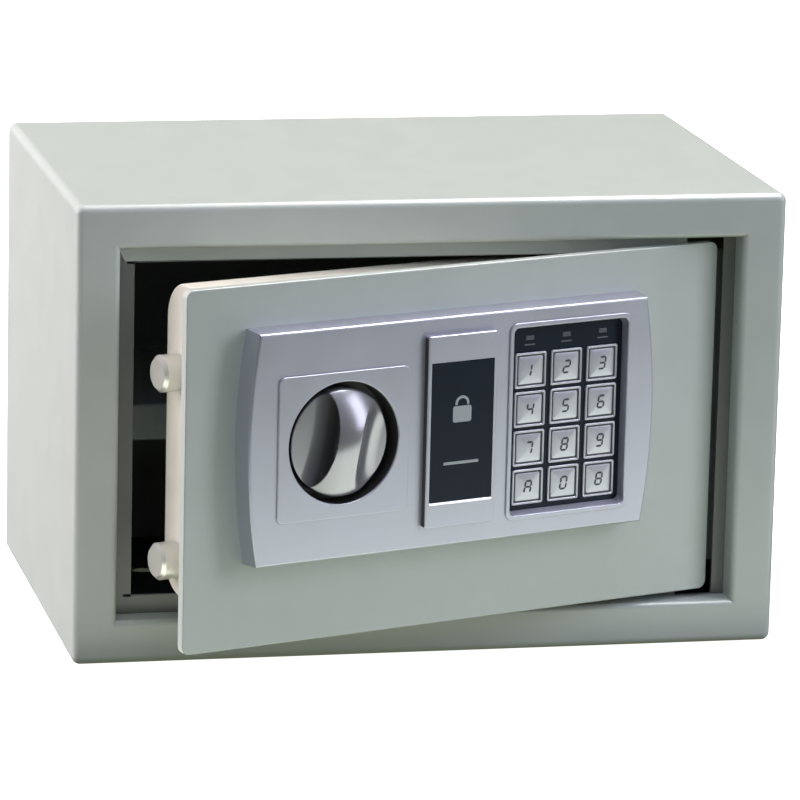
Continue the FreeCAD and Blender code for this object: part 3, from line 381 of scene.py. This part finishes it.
def loop_square(half_x, half_z, radius, per_corner):
    """Points round a rectangle with rounded corners, anticlockwise from the right."""
    points = []
    for quarter in range(4):
        cx = (half_x - radius) * (1 if quarter in (0, 3) else -1)
        cz = (half_z - radius) * (1 if quarter in (0, 1) else -1)
        for i in range(per_corner):
            a = math.radians(90 * (quarter + i / (per_corner - 1)))
            points.append((cx + radius * math.cos(a), cz + radius * math.sin(a)))
    return points


# ---------------------------------------------------------------- knob

KNOB_ACROSS, _, KNOB_UP = shut_box("knob")
WELL = (middle_of(KNOB_ACROSS), middle_of(KNOB_UP))
WELL_R = 26.2
WELL_HUB_R = 10.0
WELL_LIP = 11.3
WELL_SKIN = 0.12                   # thickness of the black lining, painted shade in the well
KNOB = (WELL[0] - 0.3, WELL[1] - 0.4)
KNOB_R = (KNOB_ACROSS[1] - KNOB_ACROSS[0]) / 2 + 0.4
KNOB_TILT = math.radians(11.2)
KNOB_BACK = 0.8
KNOB_RIM_R = 0.5                   # rounding of the rim
DOME_R, DOME_DROP = 39.0, 21.5     # the grip is cut from a ball sunk below the plate
SCOOP_AT, SCOOP_FLOOR = 95.8, 8.0
SCOOPS = ((-1, 90.0, 8.0, 0.4), (1, 91.2, 15.0, 2.4))      # side, radius, fillet, softness of the crest


def soft_min(a, b, reach):
    """The lower of two heights, blended where they are less than reach apart."""
    k = max(0.0, min(1.0, 0.5 + 0.5 * (b - a) / reach))
    return b + (a - b) * k - reach * k * (1 - k)


def knob_height(across, along):
    """Height of the grip out of the plate, across and along its own ridge."""
    height = math.sqrt(DOME_R ** 2 - across ** 2 - along ** 2) - DOME_DROP
    for side, radius, fillet, softness in SCOOPS:
        q = math.hypot(across - side * SCOOP_AT, along) - (radius - fillet)
        if q < fillet:
            rise = fillet - math.sqrt(fillet ** 2 - max(0.0, q) ** 2)
            height = soft_min(height, SCOOP_FLOOR + rise, softness)
    return height


def knob_spot(across, along, height):
    """A point of the knob, given across and along its tilted ridge."""
    x = KNOB[0] + across * math.cos(KNOB_TILT) + along * math.sin(KNOB_TILT)
    z = KNOB[1] - across * math.sin(KNOB_TILT) + along * math.cos(KNOB_TILT)
    return spot(x, z, height)


def make_knob():
    turns, rings = 360, 64
    verts = []
    for i in range(rings + 1):
        r = KNOB_R * max(0.002, i / rings)
        drop = KNOB_R - r
        edge = KNOB_RIM_R - math.sqrt(KNOB_RIM_R ** 2 - (KNOB_RIM_R - drop) ** 2) if drop < KNOB_RIM_R else 0.0
        for j in range(turns):
            a = 2 * math.pi * j / turns
            across, along = r * math.cos(a), r * math.sin(a)
            verts.append(knob_spot(across, along, knob_height(across, along) - edge))
    for j in range(turns):
        a = 2 * math.pi * j / turns
        verts.append(knob_spot(KNOB_R * math.cos(a), KNOB_R * math.sin(a), KNOB_BACK))
    faces = grid_faces(rings + 2, turns)
    faces.append(tuple(range(turns)))
    faces.append(tuple((rings + 1) * turns + j for j in reversed(range(turns))))
    made = piece("grip_knob", verts, faces, "knob_silver_painted_shade", "knob", slot="silver_plastic")
    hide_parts("knob")


def make_well_shade():
    """Black cup round the knob, painted shade for the dark well: a washer on the door plate and a thin wall up the
    well.
    """
    turns, floor, clear = 96, 0.4, 0.02
    wall, outer = WELL_R - WELL_SKIN, WELL_R - 0.01
    rings = ((WELL_HUB_R, clear), (WELL_HUB_R, floor), (wall, floor), (wall, WELL_LIP), (outer, WELL_LIP),
             (outer, clear))
    verts = []
    for r, out in rings:
        for j in range(turns):
            a = 2 * math.pi * j / turns
            verts.append(spot(WELL[0] + r * math.cos(a), WELL[1] + r * math.sin(a), out))
    faces = grid_faces(len(rings), turns)
    last = (len(rings) - 1) * turns
    faces += [(last + j, last + (j + 1) % turns, (j + 1) % turns, j) for j in range(turns)]
    piece("well_shade", verts, faces, "component_black", "door", smooth=False)


# ---------------------------------------------------------------- keypad and badge

KEY_NAMES = ("1", "2", "3", "4", "5", "6", "7", "8", "9", "a", "0", "b")
KEY_OUT = stands_out("key_1")
FRAME_OUT = stands_out("key_frames")
PANEL_OUT = stands_out("keypad_overlay")
COVER_OUT = stands_out("emergency_cover")
LED_PITCH = 18.2
CAP_HALF, CAP_BASE, CAP_CROWN = 5.95, 6.5, 0.42
CAP_TOP = KEY_OUT - CAP_CROWN - 0.03
CAP_ROLL = 0.22            # how far the cap's edge rolls down
CAP_STEPS = (1.0, 1.0, 0.985, 0.96, 0.9, 0.8, 0.65, 0.5, 0.35, 0.2, 0.08)
RIM_OUTER, RIM_INNER = 7.7, 6.75
RIM_BASE, RIM_TOP = PANEL_OUT - 0.05, FRAME_OUT - 0.05
GROOVE_LOW, GROOVE_TOP = PANEL_OUT + 0.01, PANEL_OUT + 0.15
LEGEND_W, LEGEND_H, LEGEND_STROKE, LEGEND_SLANT = 2.9, 5.1, 0.85, 0.17
LEGEND_LIFT = 0.05
MARK_HALF_W, MARK_HALF_H, MARK_BELOW = 2.6, 0.3, 3.0
MARK_OUT = (PANEL_OUT + 0.02, PANEL_OUT + 0.06)
SILL_HALF_W, SILL_H = 15.2, 0.9
SILL_ROOT, SILL_BASE, SILL_OUT = COVER_OUT - 0.1, COVER_OUT + 0.02, COVER_OUT + 0.6
# strokes of each figure, lettered a to g clockwise from the top with g across the middle
SEGMENTS = {"0": "abcdef", "1": "bc", "2": "abged", "3": "abgcd", "4": "fgbc", "5": "afgcd", "6": "afgecd",
            "7": "abc", "8": "abcdefg", "9": "abcdfg", "a": "efabcg", "b": "abcdefg"}


def key_places():
    """Name and middle of each key, row by row from the top left."""
    for name in KEY_NAMES:
        across, _, up = shut_box("key_" + name)
        yield name, middle_of(across), middle_of(up)


def cap_height(u, v):
    """Crowned key face; u and v run from -1 to 1."""
    return CAP_TOP + CAP_CROWN * (1 - u ** 2) * (1 - v ** 2) - CAP_ROLL * max(abs(u), abs(v)) ** 8


def make_cap(name, cx, cz):
    verts = []
    outline = loop_square(1.0, 1.0, 0.12, 7)
    for i, k in enumerate(CAP_STEPS):
        for u, v in outline:
            h = CAP_BASE if i == 0 else cap_height(u * k, v * k)
            verts.append(spot(cx + u * k * CAP_HALF, cz + v * k * CAP_HALF, h))
    faces = grid_faces(len(CAP_STEPS), len(outline))
    faces.append(tuple((len(CAP_STEPS) - 1) * len(outline) + j for j in range(len(outline))))
    made = piece("cap_" + name, verts, faces, "key_silver", "key_" + name, slot="silver_plastic")
    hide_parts("key_" + name)


def bar(p, q, width, slant):
    """A slim six-sided stroke from p to q, leaning with the slant."""
    px, pz = p
    qx, qz = q
    length = math.hypot(qx - px, qz - pz)
    dx, dz = (qx - px) / length, (qz - pz) / length
    nx, nz = -dz * width / 2, dx * width / 2
    gap, tip = width * 0.12, width / 2
    a, b = gap, length - gap
    outline = [(a, 0), (a + tip, 1), (b - tip, 1), (b, 0), (b - tip, -1), (a + tip, -1)]
    points = [(px + dx * t + nx * s, pz + dz * t + nz * s) for t, s in outline]
    return [(x + z * slant, z) for x, z in points]


def make_legend(name, cx, cz):
    """The figure printed on a key, following its crown."""
    right, top, mid = LEGEND_W / 2, LEGEND_H / 2, 0.0
    ends = {"a": ((-right, top), (right, top)), "b": ((right, mid), (right, top)), "c": ((right, -top), (right, mid)),
            "d": ((-right, -top), (right, -top)), "e": ((-right, -top), (-right, mid)),
            "f": ((-right, mid), (-right, top)), "g": ((-right, mid), (right, mid))}
    verts, faces = [], []
    shift = -right if name == "1" else 0.0
    for letter in SEGMENTS[name]:
        outline = bar(*ends[letter], LEGEND_STROKE, LEGEND_SLANT)
        first, n = len(verts), len(outline)
        for lift in (LEGEND_LIFT, -LEGEND_LIFT):
            for x, z in outline:
                height = cap_height((x + shift) / CAP_HALF, z / CAP_HALF)
                verts.append(spot(cx + (x + shift), cz + z, height + lift))
        faces.append(tuple(first + i for i in range(n)))
        faces.append(tuple(first + n + i for i in reversed(range(n))))
        faces += [(first + i, first + (i + 1) % n, first + n + (i + 1) % n, first + n + i) for i in range(n)]
    piece("legend_" + name, verts, faces, "legend_grey", "key_" + name, smooth=False, slot="dark_panel")


def key_loops(rings, per_corner):
    """Square loops round every key, each (half width, height, corner radius), closed into hollow frames."""
    verts, faces = [], []
    cols = 4 * per_corner
    for _, cx, cz in key_places():
        first = len(verts)
        for half, height, radius in rings:
            verts += [spot(cx + x, cz + z, height) for x, z in loop_square(half, half, radius, per_corner)]
        faces += [tuple(first + k for k in f) for f in grid_faces(len(rings), cols)]
        last = first + (len(rings) - 1) * cols
        faces += [(last + j, last + (j + 1) % cols, first + (j + 1) % cols, first + j) for j in range(cols)]
    return verts, faces


def make_key_rims():
    """Twelve square silver rims with rounded tops."""
    rings = ((RIM_OUTER, RIM_BASE, 0.9), (RIM_OUTER, RIM_TOP - 0.3, 0.9), (RIM_OUTER - 0.1, RIM_TOP - 0.08, 0.85),
             (RIM_OUTER - 0.35, RIM_TOP, 0.7), (RIM_INNER + 0.35, RIM_TOP, 0.5),
             (RIM_INNER + 0.1, RIM_TOP - 0.08, 0.45), (RIM_INNER, RIM_TOP - 0.3, 0.4), (RIM_INNER, RIM_BASE, 0.4))
    made = piece("key_rims", *key_loops(rings, 6), "key_silver", "door", slot="silver_plastic")
    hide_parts("key_frames")


def make_key_grooves():
    """Grey rubber seen between each key and its rim."""
    outer, inner, corner = RIM_INNER + 0.05, CAP_HALF + 0.03, 0.5
    rings = ((outer, GROOVE_LOW, corner), (outer, GROOVE_TOP, corner), (inner, GROOVE_TOP, corner),
             (inner, GROOVE_LOW, corner))
    piece("key_grooves", *key_loops(rings, 3), "groove_grey", "door", smooth=False, slot="key_rubber")


def make_badge_sill():
    """Slim bead along the lower edge of the badge."""
    across, _, up = shut_box("badge")
    top, low = up[0], up[0] - SILL_H
    profile = ((top, SILL_ROOT), (top - 0.1, SILL_BASE), (low + 0.15, SILL_OUT), (low, SILL_BASE), (low, SILL_ROOT))
    verts = [spot(middle_of(across) + end * SILL_HALF_W, z, out) for end in (-1, 1) for z, out in profile]
    n = len(profile)
    faces = [tuple(range(n)), tuple(reversed(range(n, 2 * n)))]
    faces += [(i, (i + 1) % n, n + (i + 1) % n, n + i) for i in range(n)]
    piece("badge_sill", verts, faces, "silver_plastic", "emergency_cover", smooth=False)


def make_led_marks():
    """A short printed dash below each indicator."""
    verts, faces = [], []
    across, _, up = shut_box("led_lenses")
    for step in (-1, 0, 1):
        x, z = middle_of(across) + step * LED_PITCH, middle_of(up) - MARK_BELOW
        first = len(verts)
        for out in MARK_OUT:
            verts += [spot(x + dx * MARK_HALF_W, z + dz * MARK_HALF_H, out)
                      for dx, dz in ((-1, -1), (1, -1), (1, 1), (-1, 1))]
        faces += [(first, first + 1, first + 2, first + 3), (first + 7, first + 6, first + 5, first + 4)]
        faces += [(first + i, first + (i + 1) % 4, first + 4 + (i + 1) % 4, first + 4 + i) for i in range(4)]
    piece("led_marks", verts, faces, "mark_grey", "door", smooth=False, slot="emblem_print")


# ---------------------------------------------------------------- scene

make_camera()
make_world([((0, -1, 1.2), 3, (0.31, 0.33, 0.60))], (0.165, 0.172, 0.10))
area_light("key", (1.18, -0.65, 0.62), (0, -0.1, 0.1), (0.44, 0.9), 8.8, (0.90, 0.88, 1.0))
area_light("left", (-1.5, 0.5, 0.6), (-0.1, 0, 0.1), (1.2, 1.2), 42, (1.0, 0.90, 0.97), reach="diffuse")
area_light("left_gleam", (-1.5, 0.5, 0.6), (-0.1, 0, 0.1), (1.2, 1.2), 8, (1.0, 0.90, 0.97), reach="glossy")
area_light("top", (0, 0.1, 1.8), (0, 0, 0.1), (1.6, 1.6), 22, (1.0, 0.90, 0.85))
area_light("strip", (0.45, 0.0, 1.2), (0, -0.1, 0.1), (1.2, 0.5), 40, reach="glossy")
area_light("back", (0.4, 2.0, 0.3), (0, 0, 0.1), (1.0, 1.0), 14, reach="diffuse")
area_light("counter", (0.12, -0.28, 0.001), (0.12, -0.28, 1.0), (0.9, 0.3), 2.75, (0.96, 1.0, 0.88), reach="glossy")
bpy.context.scene.view_settings.view_transform = "Standard"
finish = finishes()
dress_nodes()
# painted shade inside the case and on the back panel's inner faces
shade_faces("case_shell", "case_inside_painted_shade", in_case)
shade_faces("back_panel", "case_inside_painted_shade", in_case)
# painted shadow of the open door on the stop strip
shade_faces("case_shell", "stop_painted_shadow", on_stop)
# painted shade: the cover's left edge wall in black
shade_faces("emergency_cover", "component_black", on_edge)
# painted light on the bezel's left end wall
shade_faces("bezel", "bezel_flank_painted_light", on_flank)
make_knob()
make_well_shade()
make_key_rims()
make_key_grooves()
make_badge_sill()
make_led_marks()
for name, x, z in key_places():
    make_cap(name, x, z)
    make_legend(name, x, z)
make_stage()
